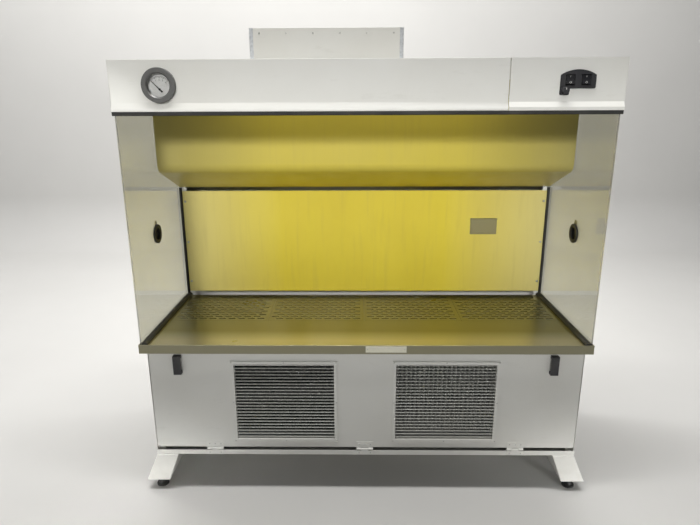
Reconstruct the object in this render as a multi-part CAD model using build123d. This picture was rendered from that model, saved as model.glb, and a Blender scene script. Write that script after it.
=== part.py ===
from build123d import *
import math
import os

# Free-standing 6 ft fume hood: an exhausted working chamber with clear sides
# on a blower base. Millimetres, +Z up. The origin is on the floor, under the
# middle of the hood. The open front faces -Y and +X is the user's right.

os.makedirs("parts", exist_ok=True)

# Overall sizes
hood_width = 1829.0
body_depth = 762.0
header_top = 1778.0
header_bottom = 1600.0
work_height = 686.0
base_floor = 178.0
base_top = 650.0
base_half = 892.0
sheet = 2.0
half = hood_width / 2

# Depths are measured back from the header's front face, which is at front_y
front_y = -369.0
rear = body_depth
base_front = 26.0
bulkhead_at = 214.0
face_at = 370.0
baffle_at = 655.0
column_at = baffle_at + sheet

# Foot rails and levelling feet
rail_top = (800.0, 892.0)
rail_foot = (848.0, 948.0)
rail_low = 50.0
rail_span = (18.0, 740.0)
rail_wall = 4.0
foot_x = 898.0
foot_y = (66.0, 694.0)
foot_stem_r = 6.0
run_clear = 0.05

# Front access panel, grilles and handles
panel_low = 212.0
panel_high = 646.0
panel_half = 888.0
panel_depth = 18.0
grille_x = (115.0, 553.0)
grille_z = (242.0, 612.0)
grille_border = 8.0
blade_count = 24
blade_size = (18.0, 2.0)
blade_tilt = 15.0
hinge_y = 24.0
hinge_z = 205.0
hinge_x = (-640.0, 0.0, 640.0)
handle_x = 768.0

# Filters
filter_width = 450.0
filter_depth = 110.0
filter_z = (230.0, 620.0)
filter_rim = 14.0
pleats = 22

# Blowers
blower_x = 430.0
blower_y = 430.0
blower_z = 400.0
scroll_width = 200.0
scroll_r = 125.0
scroll_step = 14.0
outlet_height = 150.0
wheel_r = 105.0
wheel_blades = 24
shaft_r = 8.0

# Worktop and its lift-out perforated trays
top_skirt = 656.0
top_rim = 694.0
tray_open_x = 876.0
tray_open_y = (292.0, 640.0)
tray_count = 4
tray_gap = 1.0
ledge_x = 878.0
glass_foot = work_height + 2

# Clear sides
glass_in = 903.0
glass_out = 909.0
glass_front = 8.0
seal_x = (891.0, glass_in)
seal_top = 1238.0
port_y = 305.0
port_z = 1085.0
port_r = 27.0
pivot_up = 50.0

# Baffles
bend_z = 1348.0
slant_end = (650.0, 1242.0)
baffle_low = 708.0
baffle_high = 1222.0
screw_x = 880.0
screw_z = (760.0, 965.0, 1170.0)
column_x = (870.0, 911.0)
flange_x = 868.0
socket_x = 592.0
socket_z = 1045.0

# Header, gauge and controls
lip_out = 10.0
lip_start = header_bottom + 30
strip_low = 1586.0
seam_x = 505.0
gauge_x = -734.0
gauge_z = 1691.0
gauge_r = 60.5
dial_r = 53.0
bezel_r = 40.0
pointer_drop = 14.0
switch_x = 743.0
switch_z = 1703.0
plate_x = (681.0, 805.0)
plate_z = (1674.0, 1720.0)
plate_crown = 1738.0
tab_x = 714.0
tab_low = 1652.0
rocker_gap = 28.0
rocker_tilt = 10.0
knob_x = 697.5
knob_z = 1667.0
knob_out = 24.0
knob_r = 12.0
gland_y = 690.0
gland_z = 300.0
gland_r = 10.0
cable_r = 6.0

# Exhaust box, duct collar and damper
box_x = (-480.0, 160.0)
box_y = (420.0, 740.0)
box_top = 1932.0
duct_x = -160.0
duct_y = 580.0
duct_r = 101.6
collar_low = 1888.0
damper_z = 1786.0
blade_half = 100.0
throat_half = 102.0


def block(x, y, z):
    """A box from three (low, high) pairs, with y measured from the header's face."""
    size = [high - low for low, high in (x, y, z)]
    middle = [(low + high) / 2 for low, high in (x, y, z)]
    return Pos(middle[0], middle[1] + front_y, middle[2]) * Box(*size)


def rod_x(r, x, y, z):
    """A cylinder along X between the two values of x."""
    length = x[1] - x[0]
    spot = Pos((x[0] + x[1]) / 2, y + front_y, z)
    return spot * Cylinder(r, length, rotation=(0, 90, 0))


def rod_y(r, x, y, z):
    """A cylinder along Y between the two values of y."""
    length = y[1] - y[0]
    spot = Pos(x, (y[0] + y[1]) / 2 + front_y, z)
    return spot * Cylinder(r, length, rotation=(90, 0, 0))


def rod_z(r, x, y, z):
    """A cylinder along Z between the two values of z."""
    return Pos(x, y + front_y, (z[0] + z[1]) / 2) * Cylinder(r, z[1] - z[0])


def side_run(points, x):
    """A prism along X, from an outline of (depth, height) points."""
    corners = [(x[0], y + front_y, z) for y, z in points]
    return extrude(make_face(Polyline(*corners, close=True)), amount=x[1] - x[0], dir=(1, 0, 0))


def both_sides(shape):
    """The shape, modelled at +X, and its twin at -X."""
    return [shape, mirror(shape, about=Plane.YZ)]


def span(centre, width):
    return (centre - width / 2, centre + width / 2)


def save(name, shapes):
    """Write one node; a list of shapes becomes a group of separate solids."""
    solids = shapes if isinstance(shapes, list) else [shapes]
    flat = [solid for shape in solids for solid in shape.solids()]
    whole = flat[0] if len(flat) == 1 else Compound(children=flat)
    export_step(whole, f"parts/{name}.step")


# ---------------------------------------------------------------- feet

def rail_prism(inset):
    """The splayed rail's section, run front to back."""
    top = base_floor - inset
    low = rail_low + inset
    side = inset * 1.15
    corners = [(rail_top[0] + side, top), (rail_top[1] - side, top),
               (rail_foot[1] - side, low), (rail_foot[0] + side, low)]
    start = rail_span[0] + inset + front_y
    length = rail_span[1] - rail_span[0] - 2 * inset
    wire = Polyline(*[(x, start, z) for x, z in corners], close=True)
    return extrude(make_face(wire), amount=length, dir=(0, 1, 0))


def foot_rail():
    rail = rail_prism(0) - rail_prism(rail_wall)
    for y in foot_y:
        rail += rod_z(14, foot_x, y, (rail_low + rail_wall - 1, rail_low + 30))
        rail -= rod_z(foot_stem_r + run_clear, foot_x, y, (rail_low - 1, rail_low + 31))
    return rail


def levelling_foot(x, y):
    """A swivel-free foot: round pad, cone and threaded stem in one."""
    pad = rod_z(26, x, y, (0, 9))
    pad = fillet(pad.edges().group_by(Axis.Z)[-1], 3)
    cone = Pos(x, y + front_y, 16) * Cone(18, 10, 14)
    nut = Pos(x, y + front_y, 34) * extrude(RegularPolygon(11, 6), amount=9)
    stem = rod_z(foot_stem_r, x, y, (20, rail_low + 46))
    return pad + cone + nut + stem


# ---------------------------------------------------------------- base cabinet

def base_side():
    """A side sheet with a flange along its top and one behind the access panel."""
    skin = block((base_half - sheet, base_half), (base_front, rear), (base_floor, base_top))
    inner = (base_half - 30, base_half - sheet)
    flange_at = base_front + panel_depth + sheet
    top = block(inner, (flange_at + sheet, rear - sheet), (base_top - sheet, base_top))
    front = block(inner, (flange_at, flange_at + sheet), (base_floor + sheet, base_top))
    return skin + top + front


def gland_hole():
    return rod_x(gland_r + 0.1, (base_half - 12, base_half + 8), gland_y, gland_z)


def base_pan():
    inside = base_half - sheet
    pan = block((-inside, inside), (hinge_y, rear), (base_floor, base_floor + sheet))
    lip = block((-base_half, base_half), (hinge_y - sheet, hinge_y), (base_floor, hinge_z - 6))
    return pan + lip


def base_rear_panel():
    inside = base_half - sheet
    return block((-inside, inside), (rear - sheet, rear), (base_floor + sheet, base_top))


def base_top_rails():
    inside = base_half - sheet
    top = work_height - 3
    wall = 2.5
    rails = []
    for y in ((40, 80), (tray_open_y[1] + 1, baffle_at)):
        bar = block((-inside, inside), y, (base_top, top))
        hollow = block((-inside - 1, inside + 1), (y[0] + wall, y[1] - wall), (base_top + wall, top - wall))
        rails.append(bar - hollow)
    return rails


def blower_bulkhead():
    """Upright plate behind the filters, folded forward into their shelf."""
    inside = base_half - sheet
    high = base_top - sheet
    plate = block((-inside, inside), (bulkhead_at, bulkhead_at + sheet), (base_floor + sheet, high))
    shelf_front = bulkhead_at - filter_depth - 6
    shelf = block((-600, 600), (shelf_front, bulkhead_at), (filter_z[0] - sheet, filter_z[0]))
    stop = block((-600, 600), (shelf_front, shelf_front + sheet), (filter_z[0] - sheet, filter_z[0] + 12))
    panel = plate + shelf + stop
    outlet_top = blower_z + scroll_step * 4 + scroll_r
    for side in (-1, 1):
        hole = block(span(side * blower_x, scroll_width - 8), (bulkhead_at - 1, bulkhead_at + 3),
                     (outlet_top - outlet_height + 4, outlet_top - 4))
        panel -= hole
    return panel


def filter_cassette(side):
    """A deep-pleated panel filter: frame, V-folded media and separators."""
    x = span(side * sum(grille_x) / 2, filter_width)
    y = (bulkhead_at - filter_depth, bulkhead_at)
    inner_x = (x[0] + filter_rim, x[1] - filter_rim)
    inner_z = (filter_z[0] + filter_rim, filter_z[1] - filter_rim)
    frame = block(x, y, filter_z) - block(inner_x, (y[0] - 1, y[1] + 1), inner_z)
    media = block(inner_x, (y[0] + 12, y[1] - 12), inner_z)
    pitch = (inner_x[1] - inner_x[0]) / pleats
    for n in range(pleats):
        left = inner_x[0] + n * pitch
        notch = [(left + 2, y[0]), (left + pitch - 2, y[0]), (left + pitch / 2, y[0] + 60)]
        wire = Polyline(*[(px, py + front_y, inner_z[0]) for px, py in notch], close=True)
        media -= extrude(make_face(wire), amount=inner_z[1] - inner_z[0], dir=(0, 0, 1))
    return frame + media


# ---------------------------------------------------------------- blowers

def volute(inset):
    """Four tangent arcs of growing radius, joined to the outlet's straight throat."""
    centre = Vector(blower_y, blower_z)
    radius = scroll_r - inset
    arcs = []
    for quarter in range(4):
        start = 90 + 90 * quarter
        arcs.append(CenterArc((centre.X, centre.Y), radius, start, 90))
        turn = math.radians(start + 90)
        centre -= Vector(math.cos(turn), math.sin(turn)) * scroll_step
        radius += scroll_step
    first = arcs[0] @ 0
    last = arcs[3] @ 1
    spiral = make_face(arcs + [Line(last, first)])
    top = last.Y
    throat_y = (bulkhead_at + sheet, blower_y)
    throat_z = (top - outlet_height + 2 * inset, top)
    middle = Pos(sum(throat_y) / 2, sum(throat_z) / 2)
    throat = middle * Rectangle(throat_y[1] - throat_y[0], throat_z[1] - throat_z[0])
    return spiral + throat


def scroll_solid(inset, x):
    """The volute's flat shape, stood up across the hood between two values of x."""
    stand = Plane(origin=(x[0], front_y, 0), x_dir=(0, 1, 0), z_dir=(1, 0, 0))
    return extrude(stand * volute(inset), amount=x[1] - x[0])


def blower_scroll():
    x = span(blower_x, scroll_width)
    shell = scroll_solid(0, x) - scroll_solid(sheet, (x[0] + sheet, x[1] - sheet))
    shell -= block((x[0] + sheet, x[1] - sheet), (bulkhead_at, bulkhead_at + 8),
                   (blower_z + 45, blower_z + 170))
    shell -= rod_x(92, (x[0] - 1, x[0] + 5), blower_y, blower_z)
    shell -= rod_x(20, (x[1] - 5, x[1] + 1), blower_y, blower_z)
    mouth = rod_x(98, (x[0] - 10, x[0]), blower_y, blower_z)
    mouth -= rod_x(92, (x[0] - 11, x[0] + 1), blower_y, blower_z)
    return shell + mouth


def impeller():
    """A drum wheel: back plate, hub, front ring and forward-curved blades."""
    back = (blower_x + 73, blower_x + 75)
    ring = (blower_x - 85, blower_x - 81)
    wheel = rod_x(wheel_r, back, blower_y, blower_z)
    wheel += rod_x(18, (blower_x + 50, blower_x + 85), blower_y, blower_z)
    wheel -= rod_x(shaft_r, (blower_x, blower_x + 120), blower_y, blower_z)
    rim = rod_x(wheel_r, ring, blower_y, blower_z)
    wheel += rim - rod_x(wheel_r - 20, (ring[0] - 1, ring[1] + 1), blower_y, blower_z)
    middle = (ring[0] + back[1]) / 2
    blade = Pos(0, 0, wheel_r - 10) * Rot(28, 0, 0) * Box(back[1] - ring[0] - 2, 1.6, 18)
    for n in range(wheel_blades):
        turned = Rot(n * 360 / wheel_blades, 0, 0) * blade
        wheel += Pos(middle, blower_y + front_y, blower_z) * turned
    return wheel


def motor_shaft():
    return rod_x(shaft_r, (blower_x + 50, blower_x + 170), blower_y, blower_z)


def blower_motor():
    """Flange-mounted motor with cooling fins and a rear cowl."""
    start = blower_x + scroll_width / 2
    motor = rod_x(60, (start, start + 6), blower_y, blower_z)
    motor += rod_x(52, (start + 6, start + 96), blower_y, blower_z)
    for n in range(6):
        fin = start + 16 + n * 13
        motor += rod_x(57, (fin, fin + 4), blower_y, blower_z)
    motor += rod_x(46, (start + 96, start + 112), blower_y, blower_z)
    motor -= rod_x(shaft_r + run_clear, (start - 1, start + 74), blower_y, blower_z)
    return motor


# ---------------------------------------------------------------- access panel

def front_panel():
    wide = (-panel_half, panel_half)
    skin = block(wide, (base_front, base_front + panel_depth), (panel_low, panel_high))
    skin -= block((wide[0] + sheet, wide[1] - sheet), (base_front + sheet, base_front + 30),
                  (panel_low + sheet, panel_high - sheet))
    for side in (-1, 1):
        x = sorted((side * (grille_x[0] + grille_border), side * (grille_x[1] - grille_border)))
        skin -= block(x, (0, 60), (grille_z[0] + grille_border, grille_z[1] - grille_border))
    return skin


def grille(side):
    """A framed grille whose blades tip up towards the front."""
    x = sorted((side * grille_x[0], side * grille_x[1]))
    z = grille_z
    gap = grille_border
    border = block(x, (base_front - 6, base_front), z)
    sleeve = block((x[0] + gap, x[1] - gap), (base_front, base_front + 20), (z[0] + gap, z[1] - gap))
    core = block((x[0] + gap + 5, x[1] - gap - 5), (base_front - 9, base_front + 24),
                 (z[0] + gap + 5, z[1] - gap - 5))
    frame = border + sleeve - core
    pitch = (z[1] - z[0] - 2 * gap - 10) / blade_count
    length = x[1] - x[0] - 2 * gap - 8
    for n in range(blade_count):
        height = z[0] + gap + 5 + pitch * (n + 0.5)
        spot = Pos(sum(x) / 2, base_front + 6 + front_y, height)
        frame += spot * Rot(-blade_tilt, 0, 0) * Box(length, *blade_size)
    return frame


def panel_handle():
    """A bow handle near the panel's top corner."""
    x = span(handle_x, 30)
    grip = block(x, (3, 13), (560, 642))
    legs = block(x, (12, base_front), (560, 572)) + block(x, (12, base_front), (630, 642))
    return fillet((grip + legs).edges().filter_by(Axis.X), 2.5)


def hinge_leaf_fixed(x):
    leaf = block((x - 35, x + 35), (hinge_y - 4, hinge_y - 2), (181, 199))
    leaf += block((x - 14, x + 14), (hinge_y - 4, hinge_y - 2), (198, hinge_z - 2))
    leaf += rod_x(4.5, (x - 14, x + 14), hinge_y, hinge_z)
    return leaf + rod_x(2.5, (x - 35, x + 35), hinge_y, hinge_z)


def hinge_leaf_moving(x):
    leaf = block((x - 35, x + 35), (hinge_y, base_front), (hinge_z + 7, hinge_z + 34))
    for side in (-1, 1):
        tab = sorted((x + side * 15, x + side * 35))
        leaf += block(tab, (hinge_y, base_front), (hinge_z + 1, hinge_z + 8))
        leaf += rod_x(4.5, tab, hinge_y, hinge_z)
        leaf -= rod_x(2.5 + run_clear, (tab[0] - 0.5, tab[1] + 0.5), hinge_y, hinge_z)
    return leaf


# ---------------------------------------------------------------- worktop

def worktop():
    """A rimmed stainless pan with raised side ledges and an opening for the rear trays."""
    top = block((-half, half), (0, baffle_at), (top_skirt, top_rim))
    inside = half - 2.5
    top -= block((-inside, inside), (2.5, baffle_at + 1), (glass_foot, top_rim + 1))
    top -= block((-ledge_x, ledge_x), (2.5, baffle_at + 1), (work_height, top_rim + 1))
    top -= block((-inside, inside), (2.5, baffle_at + 1), (top_skirt - 1, work_height - 3))
    top -= block((-tray_open_x, tray_open_x), tray_open_y, (work_height - 4, work_height + 1))
    ledge = block((-tray_open_x - 5, tray_open_x + 5), (tray_open_y[0] - 5, tray_open_y[1] + 1),
                  (work_height - 5.5, work_height - 3))
    ledge -= block((-tray_open_x + 10, tray_open_x - 10), (tray_open_y[0] + 10, tray_open_y[1] - 10),
                   (work_height - 9, work_height))
    return top + ledge


def exhaust_tray(n):
    """One lift-out tray with staggered rows of slots."""
    width = (2 * tray_open_x - (tray_count + 1) * tray_gap) / tray_count
    left = -tray_open_x + tray_gap + n * (width + tray_gap)
    y = (tray_open_y[0] + 1, tray_open_y[1] - 1)
    tray = block((left, left + width), y, (work_height - 3, work_height - 0.5))
    cutters = []
    for row in range(13):
        shift = 0 if row % 2 else 22
        for column in range(9):
            spot = left + 26 + shift + column * 44
            if spot + 15 < left + width - 14:
                outline = SlotOverall(34, 9)
                place = Pos(spot + 2, y[0] + front_y + 25 + row * 24.5, work_height - 4)
                cutters.append(extrude(place * outline, amount=5))
    return tray - cutters


def worktop_gasket():
    """A soft wedge strip along the clear side's foot, turned up the corner behind it."""
    strip = block((ledge_x + 2, glass_in), (glass_front, baffle_at), (glass_foot, glass_foot + 12))
    strip = chamfer(strip.edges().filter_by(Axis.Y).group_by(Axis.X)[0].group_by(Axis.Z)[-1], 7)
    corner = block(seal_x, (baffle_at - 10, baffle_at), (glass_foot, seal_top))
    corner = chamfer(corner.edges().filter_by(Axis.Z).group_by(Axis.X)[0].group_by(Axis.Y)[0], 4)
    return strip + corner


# ---------------------------------------------------------------- clear sides

def side_glass():
    glass = block((glass_in, glass_out), (glass_front, baffle_at), (glass_foot, header_bottom))
    return glass - rod_x(port_r + 5, (glass_in - 1, glass_out + 1), port_y, port_z)


def port_ring():
    """A two-flanged grommet with a pivot lug above it for the cover."""
    ring = rod_x(port_r + 5, (glass_in, glass_out), port_y, port_z)
    ring += rod_x(port_r + 14, (glass_in - 4, glass_in), port_y, port_z)
    ring += rod_x(port_r + 14, (glass_out, glass_out + 3), port_y, port_z)
    pivot = port_z + pivot_up
    ring += rod_x(9, (glass_out, glass_out + 3), port_y, pivot)
    ring += block((glass_out, glass_out + 3), (port_y - 9, port_y + 9), (port_z + 35, pivot))
    ring -= rod_x(port_r, (glass_in - 5, glass_out + 4), port_y, port_z)
    return ring + rod_x(3, (glass_out + 3, half), port_y, pivot)


def port_cover():
    """A flat teardrop that hangs over the port from its pivot."""
    x = (glass_out + 3.3, glass_out + 5.3)
    pivot = port_z + pivot_up
    cover = rod_x(port_r + 9, x, port_y, port_z)
    cover += block(x, (port_y - 9, port_y + 9), (port_z, pivot))
    cover += rod_x(9, x, port_y, pivot)
    return cover - rod_x(3 + run_clear, (x[0] - 1, x[1] + 1), port_y, pivot)


# ---------------------------------------------------------------- rear plenum

def screw_spots():
    return [(side * screw_x, z) for side in (-1, 1) for z in screw_z]


def rear_column():
    """A folded corner post between the clear side and the rear panel."""
    z = (base_top, header_bottom)
    post = block(column_x, (column_at, rear - sheet), z)
    post -= block((column_x[0] - 1, column_x[1] - sheet), (column_at + sheet, rear),
                  (base_top - 1, header_bottom + 1))
    for x, height in screw_spots():
        if x > 0:
            post -= rod_y(2.1, x, (column_at - 1, column_at + 3), height)
    return post


def rear_panel():
    return block((-column_x[1], column_x[1]), (rear - sheet, rear), (base_top, header_top - sheet))


def lower_baffle():
    wide = (-900, 900)
    plate = block(wide, (baffle_at, column_at), (baffle_low, baffle_high))
    inner = (-flange_x, flange_x)
    plate += block(inner, (column_at, column_at + 12), (baffle_high - sheet, baffle_high))
    plate += block(inner, (column_at, column_at + 12), (baffle_low, baffle_low + sheet))
    plate -= block(span(socket_x, 104), (baffle_at - 1, column_at + 1), span(socket_z, 64))
    for x, height in screw_spots():
        plate -= rod_y(2.1, x, (baffle_at - 1, column_at + 1), height)
    return plate


def baffle_screw(x, z):
    head = rod_y(5.5, x, (baffle_at - 3, baffle_at), z)
    head = fillet(head.edges().group_by(Axis.Y)[0], 1.8)
    return head + rod_y(2, x, (baffle_at - 1, column_at + 10), z)


def baffle_region(inset, x):
    """Everything above and behind the bent face of the upper baffle."""
    slope = math.atan2(bend_z - slant_end[1], slant_end[0] - face_at)
    corner_z = bend_z + inset * (1 / math.cos(slope)) - inset * math.tan(slope)
    end_z = slant_end[1] + inset / math.cos(slope)
    top = header_top - sheet + inset
    points = [(face_at + inset, top), (face_at + inset, corner_z),
              (slant_end[0], end_z), (slant_end[0], top)]
    solid = side_run(points, x)
    bend = solid.edges().filter_by(Axis.X).sort_by(Axis.Z)
    corner = [e for e in bend if abs(e.center().Z - corner_z) < 0.1]
    return fillet(corner, 42 - inset)


def upper_baffle():
    """Upright face, rounded bend and slanted run-back, with closed ends."""
    outer = baffle_region(0, (-900, 900))
    return outer - baffle_region(sheet, (-898, 898)) - block(
        (-898, 898), (slant_end[0] - 3, slant_end[0] + 1), (slant_end[1] + 8, header_top))


def outlet_socket():
    """A two-gang outlet on the baffle: face plate, back box and hinge lugs."""
    plate = block(span(socket_x, 130), (baffle_at - 5, baffle_at), span(socket_z, 80))
    body = block(span(socket_x, 103), (baffle_at, baffle_at + 45), span(socket_z, 63))
    outlet = plate + body
    for side in (-1, 1):
        x = socket_x + side * 26
        outlet -= rod_y(18, x, (baffle_at - 6, baffle_at - 3), socket_z - 4)
        for pin in (-6, 6):
            outlet -= block(span(x + pin, 2), (baffle_at - 6, baffle_at + 8), span(socket_z - 2, 8))
        lug = block(span(socket_x + side * 62, 5), (baffle_at - 12, baffle_at - 4),
                    (socket_z + 33, socket_z + 39.5))
        outlet += lug - rod_x(1.5 + run_clear, span(socket_x + side * 62, 6), baffle_at - 8.5,
                              socket_z + 36.5)
    return outlet


def outlet_cover():
    """A splash lid, hinged along its top edge."""
    z = (socket_z - 36, socket_z + 36.5)
    lid = block(span(socket_x, 116), (baffle_at - 10, baffle_at - 7), z)
    lid += rod_x(2.8, span(socket_x, 116), baffle_at - 8.5, z[1])
    lid += rod_x(1.5, span(socket_x, 128), baffle_at - 8.5, z[1])
    lid += block(span(socket_x, 40), (baffle_at - 15, baffle_at - 9), (z[0], z[0] + 4))
    return lid


# ---------------------------------------------------------------- header and roof

def fascia_prism(x):
    """The header's front: upright face, sloped lip and bottom return."""
    low = header_bottom
    slope_end = lip_start - 18
    outer = [(0, header_top), (0, lip_start), (-lip_out, slope_end), (-lip_out, low), (30, low)]
    inner = [(30, low + sheet), (sheet - lip_out, low + sheet), (sheet - lip_out, slope_end - 0.5),
             (sheet, lip_start - 0.5), (sheet, header_top)]
    return side_run(outer + inner, x)


def header_fascia():
    fascia = fascia_prism((-half + sheet, seam_x - 1))
    return fascia - rod_y(58, gauge_x, (-5, 5), gauge_z)


def control_fascia():
    fascia = fascia_prism((seam_x + 1, half - sheet))
    fascia -= block(span(switch_x, 110), (-5, 5), span(switch_z, 42))
    return fascia - rod_y(3 + run_clear, knob_x, (-5, 5), knob_z)


def header_strip():
    """A soft edging strip hung under the header's front."""
    strip = block((-half + sheet, half - sheet), (-6, 6), (strip_low, header_bottom))
    return fillet(strip.edges().filter_by(Axis.X).group_by(Axis.Z)[0], 4)


def header_side():
    return block((half - sheet, half), (0, rear), (header_bottom, header_top))


def roof_panel():
    inside = half - sheet
    roof = block((-inside, inside), (sheet, rear), (header_top - sheet, header_top))
    return roof - block(span(duct_x, 240), span(duct_y, 240), (header_top - 5, header_top + 5))


def lamp_housing():
    """A white trough under the roof with a lampholder at each end."""
    z = (header_top - 62, header_top - sheet)
    trough = block((-620, 620), (120, 230), z)
    trough -= block((-618, 618), (122, 228), (z[0] - 1, z[1] - 2))
    for side in (-1, 1):
        holder = sorted((side * 594, side * 618))
        trough += block(holder, (155, 195), (z[0] + 8, z[1] - 2))
    return trough


def lamp_tube():
    return fillet(rod_x(13, (-594, 594), 175, header_top - 34).edges(), 4)


# ---------------------------------------------------------------- exhaust box

def exhaust_box():
    box = block(box_x, box_y, (header_top, box_top))
    box -= block((box_x[0] + sheet, box_x[1] - sheet), (box_y[0] + sheet, box_y[1] - sheet),
                 (header_top + sheet, box_top - sheet))
    box -= rod_z(duct_r + 1.6, duct_x, duct_y, (box_top - 5, box_top + 5))
    box -= block(span(duct_x, 2 * throat_half), span(duct_y, 2 * throat_half),
                 (header_top - 1, header_top + 5))
    box -= rod_x(5 + run_clear, (box_x[0] - 1, box_x[1] + 1), duct_y, damper_z)
    return box


def duct_collar():
    collar = rod_z(duct_r + 28, duct_x, duct_y, (box_top, box_top + 3))
    collar += rod_z(duct_r + 1.5, duct_x, duct_y, (collar_low, box_top + 1))
    return collar - rod_z(duct_r, duct_x, duct_y, (collar_low - 1, box_top + 5))


def damper_blade():
    """A square blade on its shaft, stood on edge when the damper is open."""
    blade = block(span(duct_x, 2 * blade_half), span(duct_y, 3), span(damper_z, 2 * blade_half))
    return blade + rod_x(5, (box_x[0] - 15, box_x[1] + 10), duct_y, damper_z)


def damper_lever():
    x = (box_x[0] - 11, box_x[0] - 4)
    lever = rod_x(7.5, x, duct_y, damper_z)
    lever += block(x, span(duct_y, 14), (damper_z, damper_z + 60))
    lever += rod_x(7, x, duct_y, damper_z + 60)
    return lever - rod_x(5, (x[0] - 1, x[1] + 1), duct_y, damper_z)


# ---------------------------------------------------------------- gauge and controls

def gauge_case():
    """A round pressure gauge's body, with the dial as the floor of its recess."""
    case = rod_y(gauge_r, gauge_x, (-8, 0), gauge_z)
    case += rod_y(57.5, gauge_x, (0, 45), gauge_z)
    case += rod_y(7, gauge_x + 25, (45, 60), gauge_z)
    case += rod_y(7, gauge_x - 25, (45, 60), gauge_z)
    case -= rod_y(dial_r, gauge_x, (-9, 5), gauge_z)
    return case - rod_y(1.5 + run_clear, gauge_x, (4, 12), gauge_z - pointer_drop)


def gauge_bezel():
    """A wide dished ring around the dial."""
    ring = rod_y(gauge_r, gauge_x, (-15, -8), gauge_z) - rod_y(bezel_r, gauge_x, (-16, -7), gauge_z)
    ring = chamfer(ring.edges().group_by(Axis.Y)[0].sort_by(SortBy.LENGTH)[0], 5)
    return fillet(ring.edges().group_by(Axis.Y)[0].sort_by(SortBy.LENGTH)[-1], 2)


def gauge_lens():
    return rod_y(dial_r, gauge_x, (-8, -5), gauge_z)


def gauge_pointer():
    """A slim needle on its pivot, leaning to the dial's zero."""
    needle = [(-2.2, 0), (-0.7, 44), (0, 47), (0.7, 44), (2.2, 0), (3.2, -13), (-3.2, -13)]
    outline = Polyline(*[(x, 0, z) for x, z in needle], close=True)
    plate = extrude(make_face(outline), amount=1.0, dir=(0, 1, 0))
    hub = Pos(0, 0.2, 0) * Cylinder(4, 2.2, rotation=(90, 0, 0))
    pin = Pos(0, 5.5, 0) * Cylinder(1.5, 10, rotation=(90, 0, 0))
    whole = Rot(0, -45, 0) * (plate + hub + pin)
    return Pos(gauge_x, front_y + 1, gauge_z - pointer_drop) * whole


def switch_housing():
    """Crowned face plate with a tab for the knob and two rocker pockets behind it."""
    left, right = plate_x
    low, high = plate_z
    crown = ThreePointArc((left, high), (switch_x, plate_crown), (right, high))
    corners = [(right, high), (right, low), (tab_x, low), (tab_x, tab_low), (left, tab_low), (left, high)]
    foot = Polyline(*corners)
    stand = Plane(origin=(0, front_y - 4, 0), x_dir=(1, 0, 0), z_dir=(0, -1, 0))
    plate = extrude(stand * make_face(crown + foot), amount=-4)
    plate = fillet(plate.edges().filter_by(Axis.Y), 5)
    plate -= rod_y(3 + run_clear, knob_x, (-5, 1), knob_z)
    body = plate + block(span(switch_x, 109), (0, 26), span(switch_z, 41))
    for side in (-1, 1):
        x = switch_x + side * rocker_gap
        body -= block(span(x, 33), (-5, 22), span(switch_z, 38))
        body -= rod_x(1.5 + run_clear, span(x, 37), 1, switch_z)
    return body


def rocker(side):
    """One rocker, tipped to its off position about its cross pins."""
    x = switch_x + side * rocker_gap
    outline = [(0, -16), (-7, -16), (-4, 0), (-7, 16), (0, 16), (8, 9), (8, -9)]
    wire = Polyline(*[(-15, y, z) for y, z in outline], close=True)
    solid = extrude(make_face(wire), amount=30, dir=(1, 0, 0))
    solid = fillet(solid.edges().filter_by(Axis.X), 0.8)
    solid += Cylinder(1.5, 36, rotation=(0, 90, 0))
    return Pos(x, front_y + 1, switch_z) * Rot(-rocker_tilt, 0, 0) * solid


def speed_knob():
    """A fluted knob on its spindle."""
    knob = rod_y(knob_r, knob_x, (-knob_out, -9), knob_z)
    knob = fillet(knob.edges().group_by(Axis.Y)[0], 2)
    knob += rod_y(knob_r + 2.5, knob_x, (-9, -5), knob_z)
    for n in range(18):
        turn = math.radians(n * 20)
        flute_x = knob_x + (knob_r + 0.5) * math.cos(turn)
        flute_z = knob_z + (knob_r + 0.5) * math.sin(turn)
        knob -= rod_y(1.3, flute_x, (-knob_out - 1, -9), flute_z)
    return knob + rod_y(3, knob_x, (-5, 22), knob_z)


def cable_gland():
    """Nut, neck and cap of the supply cable's entry, in one."""
    gland = rod_x(14, (base_half - 12, base_half - sheet), gland_y, gland_z)
    gland += rod_x(gland_r, (base_half - 3, base_half + 1), gland_y, gland_z)
    gland += rod_x(15, (base_half, base_half + 8), gland_y, gland_z)
    gland += rod_x(12, (base_half + 8, base_half + 22), gland_y, gland_z)
    return gland - rod_x(cable_r, (base_half - 20, base_half + 30), gland_y, gland_z)


# ---------------------------------------------------------------- write the nodes

save("foot_rails", both_sides(foot_rail()))
for side, side_name in ((-1, "left"), (1, "right")):
    for y, end in zip(foot_y, ("front", "rear")):
        save(f"leveller_{end}_{side_name}", levelling_foot(side * foot_x, y))
save("base_sides", [base_side() - gland_hole(), mirror(base_side(), about=Plane.YZ)])
save("base_pan", base_pan())
save("base_rear_panel", base_rear_panel())
save("base_top_rails", base_top_rails())
save("blower_bulkhead", blower_bulkhead())
for index, side_name in ((1, "left"), (0, "right")):
    save(f"blower_scroll_{side_name}", both_sides(blower_scroll())[index])
    save(f"impeller_{side_name}", both_sides(impeller())[index])
    save(f"motor_shaft_{side_name}", both_sides(motor_shaft())[index])
    save(f"side_glass_{side_name}", both_sides(side_glass())[index])
    save(f"port_cover_{side_name}", both_sides(port_cover())[index])
for side, side_name in ((-1, "left"), (1, "right")):
    save(f"filter_{side_name}", filter_cassette(side))
    save(f"grille_{side_name}", grille(side))
save("blower_motors", both_sides(blower_motor()))
save("front_panel", front_panel())
save("panel_handles", both_sides(panel_handle()))
save("hinge_fixed_leaves", [hinge_leaf_fixed(x) for x in hinge_x])
save("hinge_moving_leaves", [hinge_leaf_moving(x) for x in hinge_x])
save("worktop", worktop())
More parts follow.
